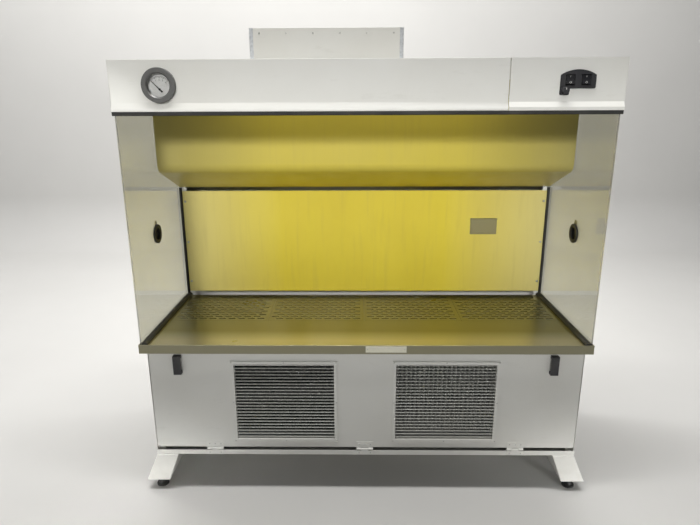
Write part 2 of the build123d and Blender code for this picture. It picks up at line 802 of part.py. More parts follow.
save("exhaust_trays", [exhaust_tray(n) for n in range(tray_count)])
save("worktop_gaskets", both_sides(worktop_gasket()))
save("port_rings", both_sides(port_ring()))
save("rear_columns", both_sides(rear_column()))
save("rear_panel", rear_panel())
save("lower_baffle", lower_baffle())
save("upper_baffle", upper_baffle())
save("baffle_screws", [baffle_screw(x, z) for x, z in screw_spots()])
save("outlet_socket", outlet_socket())
save("outlet_cover", outlet_cover())
save("header_fascia", header_fascia())
save("control_fascia", control_fascia())
save("header_sides", both_sides(header_side()))
save("header_strip", header_strip())
save("roof_panel", roof_panel())
save("lamp_housing", lamp_housing())
save("lamp_tube", lamp_tube())
save("exhaust_box", exhaust_box())
save("duct_collar", duct_collar())
save("damper_blade", damper_blade())
save("damper_lever", damper_lever())
save("gauge_case", gauge_case())
save("gauge_bezel", gauge_bezel())
save("gauge_lens", gauge_lens())
save("gauge_pointer", gauge_pointer())
save("switch_housing", switch_housing())
save("rocker_blower", rocker(-1))
save("rocker_light", rocker(1))
save("speed_knob", speed_knob())
save("cable_gland", cable_gland())
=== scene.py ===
import math

import bmesh
import bpy
from mathutils import Matrix, Vector


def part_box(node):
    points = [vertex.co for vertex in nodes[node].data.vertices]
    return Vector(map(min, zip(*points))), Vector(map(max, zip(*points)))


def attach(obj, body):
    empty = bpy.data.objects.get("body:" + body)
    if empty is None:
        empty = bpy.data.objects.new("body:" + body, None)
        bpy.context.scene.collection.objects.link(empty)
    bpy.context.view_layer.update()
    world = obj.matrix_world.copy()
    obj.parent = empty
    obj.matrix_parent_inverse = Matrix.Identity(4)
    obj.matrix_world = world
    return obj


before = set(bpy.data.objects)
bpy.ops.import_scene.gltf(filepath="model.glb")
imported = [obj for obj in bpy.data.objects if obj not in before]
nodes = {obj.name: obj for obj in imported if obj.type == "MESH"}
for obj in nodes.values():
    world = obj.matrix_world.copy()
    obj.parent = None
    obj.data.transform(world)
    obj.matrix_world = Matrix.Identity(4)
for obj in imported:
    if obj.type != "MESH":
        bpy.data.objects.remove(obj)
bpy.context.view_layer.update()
HOOD = "hood"

# ---------------------------------------------------------------- places taken from the frame

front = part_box("header_fascia")[1].y - 0.030
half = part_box("header_sides")[1].x
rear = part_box("rear_panel")[1].y
header_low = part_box("header_sides")[0].z
header_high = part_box("header_sides")[1].z
base_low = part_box("base_pan")[0].z
base_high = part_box("base_sides")[1].z
base_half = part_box("base_sides")[1].x

# ---------------------------------------------------------------- material tools


def new_material(name):
    material = bpy.data.materials.new(name)
    material.use_nodes = True
    tree = material.node_tree
    shader = next(n for n in tree.nodes if n.type == "BSDF_PRINCIPLED")
    return material, tree, shader


def add(tree, kind, **values):
    """A shader node, with its properties or its unlinked inputs set by name."""
    node = tree.nodes.new(kind)
    for name, value in values.items():
        if hasattr(node, name):
            setattr(node, name, value)
        else:
            node.inputs[name.replace("_", " ")].default_value = value
    return node


def object_place(tree, scale=(1, 1, 1)):
    """Object coordinates, stretched by scale: a CAD node's are the row frame's, in metres."""
    coordinates = add(tree, "ShaderNodeTexCoord")
    mapping = add(tree, "ShaderNodeMapping")
    mapping.inputs["Scale"].default_value = scale
    tree.links.new(coordinates.outputs["Object"], mapping.inputs["Vector"])
    return mapping.outputs["Vector"]


def coordinate(tree, axis):
    """Object coordinate X, Y or Z by itself, in metres."""
    split = add(tree, "ShaderNodeSeparateXYZ")
    tree.links.new(object_place(tree), split.inputs["Vector"])
    return split.outputs[axis]


def from_middle(tree):
    """Distance to either side of the hood's middle, in metres."""
    away = add(tree, "ShaderNodeMath", operation="ABSOLUTE")
    tree.links.new(coordinate(tree, "X"), away.inputs[0])
    return away.outputs["Value"]


def upward(tree, low, high):
    """0 to 1 as the surface turns to face up, between two heights of its normal."""
    facing = add(tree, "ShaderNodeSeparateXYZ")
    tree.links.new(add(tree, "ShaderNodeNewGeometry").outputs["Normal"], facing.inputs["Vector"])
    return ramp_value(tree, facing.outputs["Z"], low, high)


def painted_over(material):
    """A made material's tree, its shader, and the socket that colours it so far."""
    tree = material.node_tree
    shader = next(n for n in tree.nodes if n.type == "BSDF_PRINCIPLED")
    return tree, shader, shader.inputs["Base Color"].links[0].from_socket


def noise_mask(tree, scale, detail=4, low=0.4, high=0.6, stretch=(1, 1, 1)):
    """Cloudy noise squeezed to run from 0 to 1 between low and high."""
    cloud = add(tree, "ShaderNodeTexNoise", Scale=scale, Detail=detail, Roughness=0.55)
    tree.links.new(object_place(tree, stretch), cloud.inputs["Vector"])
    return ramp_value(tree, cloud.outputs["Fac"], low, high)


def ramp_value(tree, source, low, high, to_low=0.0, to_high=1.0):
    """The source value carried from low..high to to_low..to_high."""
    spread = add(tree, "ShaderNodeMapRange")
    spread.inputs["From Min"].default_value = low
    spread.inputs["From Max"].default_value = high
    spread.inputs["To Min"].default_value = to_low
    spread.inputs["To Max"].default_value = to_high
    tree.links.new(source, spread.inputs["Value"])
    return spread.outputs["Result"]


def multiply(tree, a, b):
    """The product of two sockets, or of a socket and a number."""
    node = add(tree, "ShaderNodeMath", operation="MULTIPLY")
    for n, item in enumerate((a, b)):
        if isinstance(item, (int, float)):
            node.inputs[n].default_value = item
        else:
            tree.links.new(item, node.inputs[n])
    return node.outputs["Value"]


def mix(tree, fac, a, b):
    """Colour a blended to colour b by fac; each is a socket or an RGB triple."""
    node = add(tree, "ShaderNodeMix", data_type="RGBA")
    for name, item in (("A", a), ("B", b)):
        socket = [s for s in node.inputs if s.name == name and s.type == "RGBA"][0]
        if isinstance(item, tuple):
            socket.default_value = (*item, 1)
        else:
            tree.links.new(item, socket)
    factor = [s for s in node.inputs if s.name == "Factor" and s.type == "VALUE"][0]
    if isinstance(fac, (int, float)):
        factor.default_value = fac
    else:
        tree.links.new(fac, factor)
    return [s for s in node.outputs if s.type == "RGBA"][0]


def bump(tree, shader, height, strength, distance=0.0005):
    node = add(tree, "ShaderNodeBump", Strength=strength, Distance=distance)
    tree.links.new(height, node.inputs["Height"])
    tree.links.new(node.outputs["Normal"], shader.inputs["Normal"])


def edge_mask(tree, radius, low=0.02, high=0.25):
    """1 on edges and corners, from the angle between the surface and its rounded normal."""
    rounded = add(tree, "ShaderNodeBevel", samples=6, Radius=radius)
    plain = add(tree, "ShaderNodeNewGeometry")
    dot = add(tree, "ShaderNodeVectorMath", operation="DOT_PRODUCT")
    tree.links.new(rounded.outputs["Normal"], dot.inputs[0])
    tree.links.new(plain.outputs["Normal"], dot.inputs[1])
    return ramp_value(tree, dot.outputs["Value"], 1 - low, 1 - high)


def height_mask(tree, low, high):
    """0 at the height low to 1 at the height high, in metres above the floor."""
    return ramp_value(tree, coordinate(tree, "Z"), low, high)


# ---------------------------------------------------------------- materials


def powder_coat(name, colour, shade, rough=0.42, peel=0.10, grime=(0.42, 0.40, 0.34)):
    """Satin powder coat: fine orange peel, faint clouding, scuffs, and rubbed edges."""
    material, tree, shader = new_material(name)
    clouds = noise_mask(tree, 2.3, 5, 0.35, 0.68)
    base = mix(tree, clouds, colour, shade)
    scuffs = noise_mask(tree, 9, 8, 0.62, 0.80, (1.0, 1.0, 3.2))
    base = mix(tree, multiply(tree, scuffs, 0.16), base, grime)
    edges = multiply(tree, edge_mask(tree, 0.0022), noise_mask(tree, 60, 4, 0.38, 0.62))
    base = mix(tree, multiply(tree, edges, 0.22), base, grime)
    tree.links.new(base, shader.inputs["Base Color"])
    fine = noise_mask(tree, 55, 5, 0.3, 0.7)
    blurred = ramp_value(tree, fine, 0, 1, rough - 0.06, rough + 0.08)
    tree.links.new(blurred, shader.inputs["Roughness"])
    peel_noise = noise_mask(tree, 420, 2, 0.3, 0.7)
    bump(tree, shader, peel_noise, peel, 0.0002)
    shader.inputs["Specular IOR Level"].default_value = 0.5
    return material


def white_roof_coat():
    """The white coat up top: the same paint with dust lying on the roofs of header and box."""
    material = powder_coat("white_high", WHITE, WHITE_SHADE)
    tree, shader, painted = painted_over(material)
    high_up = height_mask(tree, header_high - 0.020, header_high - 0.006)
    on_roof = multiply(tree, upward(tree, 0.85, 0.97), high_up)
    drift = ramp_value(tree, noise_mask(tree, 3.2, 6, 0.30, 0.72), 0, 1, 0.62, 0.95)
    dusty = mix(tree, multiply(tree, on_roof, drift), painted, (0.36, 0.35, 0.32))
    tree.links.new(dusty, shader.inputs["Base Color"])
    return material


def white_base_coat():
    """The white coat lower down: the same paint with dust settled towards the floor."""
    material = powder_coat("white_low", WHITE, WHITE_SHADE)
    tree, shader, painted = painted_over(material)
    dust = multiply(tree, height_mask(tree, 0.30, 0.04), noise_mask(tree, 14, 6, 0.35, 0.75))
    dusty = mix(tree, multiply(tree, dust, 0.30), painted, (0.40, 0.38, 0.33))
    tree.links.new(dusty, shader.inputs["Base Color"])
    return material


def yellow_lining():
    """Yellow satin lining with faint run-down streaks. Painted shade: the upper baffle is a darker
    yellow, and towards the chamber's ends the colour turns greyer below and dark grey above.
    """
    material, tree, shader = new_material("yellow_lining")
    clouds = noise_mask(tree, 3.0, 5, 0.35, 0.68, (1, 1, 0.6))
    base = mix(tree, clouds, YELLOW, YELLOW_SHADE)
    # painted shade: towards the chamber's ends the yellow turns greyer below and dark grey above
    ends = ramp_value(tree, from_middle(tree), 0.40, 0.92, 0.0, 0.62)
    # painted shade: above 1.22 to 1.34 m the upper baffle, under the header's shadow, takes a
    # darker yellow
    upper = height_mask(tree, 1.22, 1.34)
    base = mix(tree, upper, base, YELLOW_UPPER_SHADED)
    shaded_ends = mix(tree, upper, YELLOW_ENDS_SHADED_LOW, YELLOW_ENDS_SHADED_HIGH)
    base = mix(tree, ends, base, shaded_ends)
    streaks = noise_mask(tree, 16, 6, 0.52, 0.80, (3.0, 3.0, 0.22))
    base = mix(tree, multiply(tree, streaks, 0.14), base, (0.40, 0.30, 0.10))
    tree.links.new(base, shader.inputs["Base Color"])
    sheen = noise_mask(tree, 11, 5, 0.3, 0.7, (1, 1, 0.3))
    tree.links.new(ramp_value(tree, sheen, 0, 1, 0.30, 0.44), shader.inputs["Roughness"])
    bump(tree, shader, noise_mask(tree, 380, 2, 0.3, 0.7), 0.08, 0.0002)
    return material


def brushed_steel(name, colour, grain="x", rough=0.30, strength=0.10, dirt=0.25):
    """Brushed sheet: fine stretched lines along one axis, smears and water marks."""
    material, tree, shader = new_material(name)
    stretch = {"x": (0.5, 26, 26), "y": (26, 0.5, 26), "z": (26, 26, 0.5)}[grain]
    lines = noise_mask(tree, 14, 6, 0.25, 0.75, stretch)
    smears = noise_mask(tree, 4.5, 3, 0.10, 0.95)
    dull = tuple(c * 0.62 for c in colour)
    base = mix(tree, multiply(tree, lines, 0.30), colour, dull)
    base = mix(tree, multiply(tree, smears, dirt), base, (0.22, 0.20, 0.13))
    tree.links.new(base, shader.inputs["Base Color"])
    shader.inputs["Metallic"].default_value = 1.0
    blurred = ramp_value(tree, smears, 0, 1, rough - 0.02, rough + 0.07)
    tree.links.new(blurred, shader.inputs["Roughness"])
    bump(tree, shader, lines, strength, 0.0002)
    return material


def worktop_steel():
    """The worktop's brushed steel with smears; its colour is painted reflection and light: dark
    yellow on the top for the yellow lining's reflection and shade, dark grey-yellow on the other
    faces, and a painted lit band along the front.
    """
    # painted reflection and shade: the steel's dark yellow colour stands in for the yellow lining
    # reflected in it
    material = brushed_steel("steel_worktop", (0.27, 0.25, 0.10), "x", 0.27, 0.02, 0.35)
    tree, shader, smears_and_reflection = painted_over(material)
    # painted light: a brighter band on the top along the front, fading out 0.07 to 0.17 m back,
    # where light reaches in under the header
    front_light_band = ramp_value(tree, coordinate(tree, "Y"), front + 0.17, front + 0.07, 0.0, 0.7)
    flat_top = upward(tree, 0.5, 0.8)
    # painted reflection: faces that don't face up take a dark grey-yellow
    smears_and_reflection = mix(tree, flat_top, (0.29, 0.275, 0.19), smears_and_reflection)
    lit_front = mix(tree, multiply(tree, front_light_band, flat_top), smears_and_reflection, (0.66, 0.62, 0.48))
    tree.links.new(lit_front, shader.inputs["Base Color"])
    return material


def galvanised():
    """Spangled zinc sheet."""
    material, tree, shader = new_material("galvanised")
    spangle = add(tree, "ShaderNodeTexVoronoi", Scale=85, Randomness=1.0)
    tree.links.new(object_place(tree), spangle.inputs["Vector"])
    tone = ramp_value(tree, spangle.outputs["Distance"], 0.0, 0.7)
    base = mix(tree, tone, (0.42, 0.44, 0.46), (0.62, 0.64, 0.66))
    tree.links.new(base, shader.inputs["Base Color"])
    shader.inputs["Metallic"].default_value = 0.9
    tree.links.new(ramp_value(tree, tone, 0, 1, 0.34, 0.52), shader.inputs["Roughness"])
    return material


def moulded(name, colour, rough=0.45, grain=500, strength=0.12, coat=0.0):
    """Moulded plastic or rubber with a fine grain and slightly rubbed, paler edges."""
    material, tree, shader = new_material(name)
    pale = tuple(min(1.0, c * 1.9 + 0.02) for c in colour)
    wear = multiply(tree, edge_mask(tree, 0.0012), noise_mask(tree, 70, 3, 0.35, 0.65))
    base = mix(tree, multiply(tree, wear, 0.5), colour, pale)
    dust = noise_mask(tree, 7, 6, 0.50, 0.80)
    base = mix(tree, multiply(tree, dust, 0.10), base, (0.35, 0.33, 0.28))
    tree.links.new(base, shader.inputs["Base Color"])
    blurred = ramp_value(tree, noise_mask(tree, 30, 4, 0.3, 0.7), 0, 1, rough - 0.06, rough + 0.08)
    tree.links.new(blurred, shader.inputs["Roughness"])
    bump(tree, shader, noise_mask(tree, grain, 2, 0.3, 0.7), strength, 0.0002)
    shader.inputs["Coat Weight"].default_value = coat
    return material


def clear_panel(name, tint, rough=0.03, alpha=1.0):
    """Clear sheet with a faint haze of wiping marks."""
    material, tree, shader = new_material(name)
    shader.inputs["Base Color"].default_value = (*tint, 1)
    shader.inputs["Transmission Weight"].default_value = 1.0
    shader.inputs["IOR"].default_value = 1.49
    shader.inputs["Alpha"].default_value = alpha
    wiped = noise_mask(tree, 5, 6, 0.35, 0.75, (1, 2.4, 0.7))
    tree.links.new(ramp_value(tree, wiped, 0, 1, rough, rough + 0.05), shader.inputs["Roughness"])
    return material


def filter_media(name, colour):
    """Fibrous folded media, with painted shade darkening it down in the folds."""
    material, tree, shader = new_material(name)
    fibre = noise_mask(tree, 260, 6, 0.3, 0.7)
    dull = tuple(c * 0.7 for c in colour)
    base = mix(tree, fibre, colour, dull)
    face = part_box("filter_left")[0].y
    # painted shade: the media darkens over the first 0.06 m behind its face, deep in the folds
    fold_shade = ramp_value(tree, coordinate(tree, "Y"), face, face + 0.06)
    base = mix(tree, multiply(tree, fold_shade, 0.7), base, tuple(c * 0.3 for c in colour))
    tree.links.new(base, shader.inputs["Base Color"])
    shader.inputs["Roughness"].default_value = 0.95
    bump(tree, shader, fibre, 0.4, 0.0006)
    return material


def lamp_glass():
    """White phosphor-coated tube, glowing, with greyed ends."""
    material, tree, shader = new_material("lamp_glass")
    ends = ramp_value(tree, from_middle(tree), 0.54, 0.59)
    base = mix(tree, ends, (0.86, 0.86, 0.84), (0.35, 0.35, 0.35))
    tree.links.new(base, shader.inputs["Base Color"])
    shader.inputs["Roughness"].default_value = 0.18
    shader.inputs["Emission Color"].default_value = (1.0, 0.93, 0.66, 1)
    shader.inputs["Emission Strength"].default_value = LAMP_GLOW
    return material


def enamel(name, colour):
    """Smooth printed enamel, very slightly mottled."""
    material, tree, shader = new_material(name)
    mottle = noise_mask(tree, 90, 4, 0.3, 0.7)
    base = mix(tree, mottle, colour, tuple(c * 0.94 for c in colour))
    tree.links.new(base, shader.inputs["Base Color"])
    shader.inputs["Roughness"].default_value = 0.35
    return material


def stage_material(name, colour):
    """Matt studio paper, very slightly uneven."""
    material, tree, shader = new_material(name)
    soft = noise_mask(tree, 1.4, 4, 0.3, 0.7)
    base = mix(tree, soft, colour, tuple(c * 0.97 for c in colour))
    tree.links.new(base, shader.inputs["Base Color"])
    shader.inputs["Roughness"].default_value = 0.85
    return material


WHITE = (0.80, 0.80, 0.765)
WHITE_SHADE = (0.76, 0.755, 0.71)
YELLOW = (0.86, 0.71, 0.06)
YELLOW_SHADE = (0.80, 0.65, 0.05)
# painted shade: the upper baffle's darker yellow, and the greyer and darker yellows of the
# chamber's shaded ends
YELLOW_UPPER_SHADED = (0.66, 0.55, 0.075)
YELLOW_ENDS_SHADED_LOW = (0.70, 0.65, 0.40)
YELLOW_ENDS_SHADED_HIGH = (0.24, 0.225, 0.14)
MOTOR_BLUE = (0.055, 0.065, 0.08)
MOTOR_SHADE = (0.045, 0.05, 0.06)
MOTOR_GRIME = (0.2, 0.18, 0.15)
LAMP_GLOW = 3.5

white_high = white_roof_coat()
white_low = white_base_coat()
yellow = yellow_lining()
steel_top = worktop_steel()
steel_small = brushed_steel("steel_small", (0.60, 0.60, 0.58), "x", 0.28, 0.05, 0.10)
steel_shaft = brushed_steel("steel_shaft", (0.50, 0.50, 0.50), "x", 0.22, 0.05, 0.10)
zinc = galvanised()
motor_paint = powder_coat("motor_paint", MOTOR_BLUE, MOTOR_SHADE, 0.5, 0.3, MOTOR_GRIME)
foot_black = moulded("foot_black", (0.018, 0.018, 0.018), 0.45)
rubber = moulded("black_rubber", (0.022, 0.022, 0.020), 0.62, 300, 0.2)
black = moulded("black_plastic", (0.020, 0.020, 0.024), 0.40)
gloss = moulded("rocker_plastic", (0.014, 0.014, 0.017), 0.22, 700, 0.03, 0.4)
gauge_paint = moulded("gauge_enamel", (0.10, 0.10, 0.097), 0.34, 400, 0.1, 0.2)
outlet_grey = moulded("outlet_plastic", (0.30, 0.27, 0.13), 0.42, 500, 0.06)
pointer_paint = moulded("pointer_paint", (0.02, 0.02, 0.02), 0.5)
glass_side = clear_panel("clear_side", (0.66, 0.65, 0.52), 0.03, 0.75)
glass_lens = clear_panel("gauge_glass", (0.98, 0.98, 0.98), 0.01, 0.12)
media_dark = filter_media("media_dark", (0.10, 0.10, 0.095))
media_pale = filter_media("media_pale", (0.62, 0.61, 0.57))
tube_glass = lamp_glass()
dial_white = enamel("dial_white", (0.80, 0.80, 0.78))
print_black = enamel("print_black", (0.02, 0.02, 0.02))
print_white = enamel("print_white", (0.70, 0.70, 0.68))
tag_cream = enamel("tag_cream", (0.78, 0.76, 0.62))

FINISHES = {
    white_high: ["header_fascia", "control_fascia", "header_sides", "roof_panel", "exhaust_box",
                 "rear_panel", "rear_columns", "lamp_housing", "hinge_fixed_leaves",
                 "hinge_moving_leaves"],
    white_low: ["foot_rails", "base_sides", "base_pan", "base_rear_panel", "base_top_rails",
                "front_panel", "grille_left", "grille_right"],
    yellow: ["lower_baffle", "upper_baffle"],
    steel_top: ["worktop", "exhaust_trays"],
    steel_small: ["baffle_screws", "duct_collar"],
    steel_shaft: ["motor_shaft_left", "motor_shaft_right"],
    zinc: ["blower_bulkhead", "blower_scroll_left", "blower_scroll_right", "impeller_left",
           "impeller_right", "damper_blade", "damper_lever"],
    motor_paint: ["blower_motors"],
    foot_black: ["leveller_front_left", "leveller_front_right", "leveller_rear_left",
                 "leveller_rear_right"],
    rubber: ["worktop_gaskets", "header_strip", "port_rings"],
    black: ["panel_handles", "port_cover_left", "port_cover_right", "switch_housing",
            "speed_knob", "cable_gland"],
    gloss: ["rocker_blower", "rocker_light"],
    gauge_paint: ["gauge_case", "gauge_bezel"],
    pointer_paint: ["gauge_pointer"],
    outlet_grey: ["outlet_socket", "outlet_cover"],
    glass_side: ["side_glass_left", "side_glass_right"],
    glass_lens: ["gauge_lens"],
    media_dark: ["filter_left"],
    media_pale: ["filter_right"],
    tube_glass: ["lamp_tube"],
}


def give(piece, material):
    """Puts one material on a piece, in place of any it has."""
    piece.data.materials.clear()
    piece.data.materials.append(material)


for material, names in FINISHES.items():
    for name in names:
        give(nodes[name], material)

# ---------------------------------------------------------------- softened edges on the CAD pieces

EDGE_WIDTH = {
    "header_fascia": 0.0012, "header_sides": 0.0006, "exhaust_box": 0.0009,
    "foot_rails": 0.004, "front_panel": 0.0012, "grille_left": 0.0005, "grille_right": 0.0005,
    "base_sides": 0.0006, "base_pan": 0.0006, "worktop": 0.0008, "exhaust_trays": 0.0005,
    "worktop_gaskets": 0.0015, "switch_housing": 0.0010, "outlet_socket": 0.0012,
    "outlet_cover": 0.0010, "port_rings": 0.0008, "rear_columns": 0.0006, "damper_lever": 0.001,
    "side_glass_left": 0.0010, "side_glass_right": 0.0010,
}


def soften(piece, width):
    """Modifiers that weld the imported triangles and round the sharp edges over."""
    weld = piece.modifiers.new("weld", "WELD")
    weld.merge_threshold = 0.00001
    rounding = piece.modifiers.new("rounding", "BEVEL")
    rounding.width = width
    rounding.segments = 2
    rounding.limit_method = "ANGLE"
    rounding.angle_limit = math.radians(40)
    rounding.use_clamp_overlap = True
    flatten = piece.modifiers.new("flatten", "WEIGHTED_NORMAL")
    flatten.weight = 100
    flatten.keep_sharp = False


for name, width in EDGE_WIDTH.items():
    soften(nodes[name], width)

# ---------------------------------------------------------------- camera

LENS = 28.69
CAMERA_AT = Vector((-0.0306, front - 2.0656, 1.6095))
CAMERA_PITCH = -15.44
CAMERA_YAW = 0.8
CAMERA_ROLL = -0.23


def aim(pitch, yaw, roll):
    """The camera's turn: pitch up, yaw to the left and roll, in degrees."""
    pitch, yaw, roll = (math.radians(a) for a in (pitch, yaw, roll))
    level_ahead = Vector((-math.sin(yaw), math.cos(yaw), 0))
    ahead = level_ahead * math.cos(pitch) + Vector((0, 0, math.sin(pitch)))
    right = Vector((math.cos(yaw), math.sin(yaw), 0))
    up = right.cross(ahead)
    level = right * math.cos(roll) + up * math.sin(roll)
    upright = up * math.cos(roll) - right * math.sin(roll)
    return Matrix((level, upright, -ahead)).transposed()


lens = bpy.data.cameras.new("camera")
lens.lens = LENS
lens.sensor_width = 36
lens.clip_end = 50
camera = bpy.data.objects.new("camera", lens)
camera_turn = aim(CAMERA_PITCH, CAMERA_YAW, CAMERA_ROLL).to_4x4()
camera.matrix_world = Matrix.Translation(CAMERA_AT) @ camera_turn
bpy.context.scene.collection.objects.link(camera)
bpy.context.scene.camera = camera

# ---------------------------------------------------------------- stage and light


WALL_Y = rear + 3.9
FLOOR_REACH = 30.0
WALL_HIGH = 12.0
BEND = 0.6
BEND_STEPS = 12
DAYLIGHT = (1, 0.99, 0.975)


def backdrop():
    """A pale floor that runs up into a pale wall in one sweep."""
    mesh = bmesh.new()
    line = [(-FLOOR_REACH, 0.0), (WALL_Y - BEND, 0.0)]
    for n in range(1, BEND_STEPS + 1):
        turn = math.radians(90 * n / BEND_STEPS)
        line.append((WALL_Y - BEND + BEND * math.sin(turn), BEND - BEND * math.cos(turn)))
    line.append((WALL_Y, WALL_HIGH))
    rows = [[mesh.verts.new((x, y, z)) for y, z in line] for x in (-FLOOR_REACH, FLOOR_REACH)]
    for n in range(len(line) - 1):
        mesh.faces.new((rows[0][n], rows[1][n], rows[1][n + 1], rows[0][n + 1]))
    data = bpy.data.meshes.new("backdrop")
    mesh.to_mesh(data)
    mesh.free()
    for face in data.polygons:
        face.use_smooth = True
    sweep = bpy.data.objects.new("backdrop", data)
    bpy.context.scene.collection.objects.link(sweep)
    give(sweep, stage_material("stage_pale", (0.62, 0.615, 0.60)))


def soft_light(name, at, towards, size, power, colour, spread=180):
    """A rectangular light at one point aimed at another, in watts, its spread in degrees."""
    light = bpy.data.lights.new(name, "AREA")
    light.shape = "RECTANGLE"
    light.size, light.size_y = size
    light.energy = power
    light.color = colour
    light.spread = math.radians(spread)
    lamp = bpy.data.objects.new(name, light)
    lamp.location = at
    lamp.rotation_euler = (Vector(towards) - Vector(at)).to_track_quat("-Z", "Y").to_euler()
    bpy.context.scene.collection.objects.link(lamp)


backdrop()
soft_light("key", (-0.5, front - 4.6, 2.9), (-0.1, front + 0.6, 1.08), (3.6, 0.6), 7.2,
           (1, 0.99, 0.965), 18)
soft_light("overhead", (-1.3, front - 1.5, 3.4), (-0.2, front + 0.2, 1.0), (2.8, 0.9), 2.5,
           (1, 0.985, 0.96))
soft_light("strip", (-0.4, front - 0.75, 6.5), (-0.4, front, 0.5), (5.0, 0.7), 265,
           (1, 0.99, 0.97))
for side in (-1, 1):
    at = (side * 2.2, front - 1.7, 0.22)
    soft_light("kicker", at, (side * 0.9, front + 0.05, 0.02), (0.4, 0.2), 0.55, DAYLIGHT, 20)
soft_light("wall_wash", (-1.2, WALL_Y - 3.0, 5.6), (-0.9, WALL_Y, 0.5), (7.0, 0.6), 315, DAYLIGHT)
soft_light("back", (1.5, rear + 2.6, 3.6), (0.0, rear, 0.9), (3.0, 1.0), 15, DAYLIGHT)
world = bpy.data.worlds.new("studio")
world.use_nodes = True
sky = world.node_tree.nodes["Background"]
sky.inputs["Color"].default_value = (0.95, 0.97, 1.0, 1)
sky.inputs["Strength"].default_value = 0.10
bpy.context.scene.world = world
bpy.context.scene.view_settings.view_transform = "Standard"

# ---------------------------------------------------------------- small pieces on the hood


def piece_of(name, mesh, material, body, smooth=True):
    """An object from a bmesh, riding on a body and finished with one material."""
    data = bpy.data.meshes.new(name)
    mesh.normal_update()
    mesh.to_mesh(data)
    mesh.free()
    for face in data.polygons:
        face.use_smooth = smooth
    piece = bpy.data.objects.new(name, data)
    bpy.context.scene.collection.objects.link(piece)
    give(piece, material)
    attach(piece, body)
    return piece


def plate(mesh, low, high, edge=0.0):
    """A box between two corners, its edges taken off by edge."""
    made = bmesh.ops.create_cube(mesh, size=1)["verts"]
    size = [b - a for a, b in zip(low, high)]
    middle = [(a + b) / 2 for a, b in zip(low, high)]
    bmesh.ops.scale(mesh, vec=size, verts=made)
    bmesh.ops.translate(mesh, vec=middle, verts=made)
    if edge:
        edges = list({e for v in made for e in v.link_edges})
        bmesh.ops.bevel(mesh, geom=edges, offset=edge, segments=2, affect="EDGES", profile=0.6)


def skin(mesh, rings):
    """Faces from ring to ring, with both ends closed; the rings have the same count of points."""
    for a, b in zip(rings, rings[1:]):
        for n in range(len(a)):
            mesh.faces.new((a[n], a[n - 1], b[n - 1], b[n]))
    mesh.faces.new(rings[-1])
    mesh.faces.new(list(reversed(rings[0])))


def lathe(mesh, profile, at, facing, count=20):
    """A turned shape from (radius, height) points; facing is its axis."""
    turn = Vector(facing).to_track_quat("Z", "Y").to_matrix()
    rings = []
    for radius, height in profile:
        ring = []
        for n in range(count):
            angle = 2 * math.pi * n / count
            point = Vector((radius * math.cos(angle), radius * math.sin(angle), height))
            ring.append(mesh.verts.new(Vector(at) + turn @ point))
        rings.append(ring)
    skin(mesh, rings)


# Rows of a screw head from its edge in to its socket: width and height as shares of its
# radius, and how far its points go in and out to make the socket's star.
HEAD_ROWS = [(1.0, 0.0, 0), (1.0, 0.12, 0), (0.86, 0.34, 0), (0.62, 0.44, 0),
             (0.46, 0.45, 0.10), (0.40, 0.16, 0.10)]
HEAD_POINTS = 12


def screw_head(mesh, at, facing, radius):
    """A domed head with a star-shaped socket sunk in it."""
    turn = Vector(facing).to_track_quat("Z", "Y").to_matrix()
    rings = []
    for width, height, star in HEAD_ROWS:
        ring = []
        for n in range(HEAD_POINTS):
            spread = radius * (width + (star if n % 2 else -star))
            angle = 2 * math.pi * n / HEAD_POINTS
            point = Vector((spread * math.cos(angle), spread * math.sin(angle), height * radius))
            ring.append(mesh.verts.new(Vector(at) + turn @ point))
        rings.append(ring)
    skin(mesh, rings)


def thicken(mesh, depth):
    """Gives flat print its thickness, so every face belongs to a closed shape."""
    bmesh.ops.recalc_face_normals(mesh, faces=mesh.faces)
    bmesh.ops.solidify(mesh, geom=mesh.faces[:], thickness=depth)


def screws(name, places, radius, body, material):
    """One piece of many screws; places is a list of (point, facing) pairs."""
    mesh = bmesh.new()
    for at, facing in places:
        screw_head(mesh, at, facing, radius)
    bmesh.ops.recalc_face_normals(mesh, faces=mesh.faces)
    return piece_of(name, mesh, material, body, smooth=False)


def steps(low, high, count):
    """Evenly spaced values from low to high, both included."""
    return [low + (high - low) * n / (count - 1) for n in range(count)]


FRONTWARD = (0, -1, 0)
REARWARD = (0, 1, 0)
UPWARD = (0, 0, 1)
SMALL_SCREW = 0.0036
LEAF_SCREW = 0.0029


def panel_screws():
    """Pan-head screws along the edges of the sheet-metal panels."""
    places = []
    header_rows = (header_low + 0.022, header_high - 0.020)
    rear_rows = (header_high - 0.016, base_high + 0.022, base_low + 0.016)
    for side in (-1, 1):
        out = (side, 0, 0)
        for y in steps(front + 0.05, rear - 0.04, 5):
            places += [((side * half, y, z), out) for z in header_rows]
        for z in steps(base_low + 0.05, base_high - 0.05, 4):
            places += [((side * base_half, y, z), out) for y in (front + 0.060, rear - 0.025)]
        for z in steps(base_high + 0.06, header_high - 0.04, 8):
            places.append(((side * 0.895, rear, z), REARWARD))
        for z in steps(base_low + 0.04, base_high - 0.04, 4):
            places.append(((side * (base_half - 0.016), rear, z), REARWARD))
    for x in steps(-0.80, 0.80, 9):
        places += [((x, rear, z), REARWARD) for z in rear_rows]
        places.append(((x, rear - 0.014, header_high), UPWARD))
        places.append(((x, front + 0.018, header_high), UPWARD))
    screws("panel_screws", places, 0.0042, HOOD, steel_small)


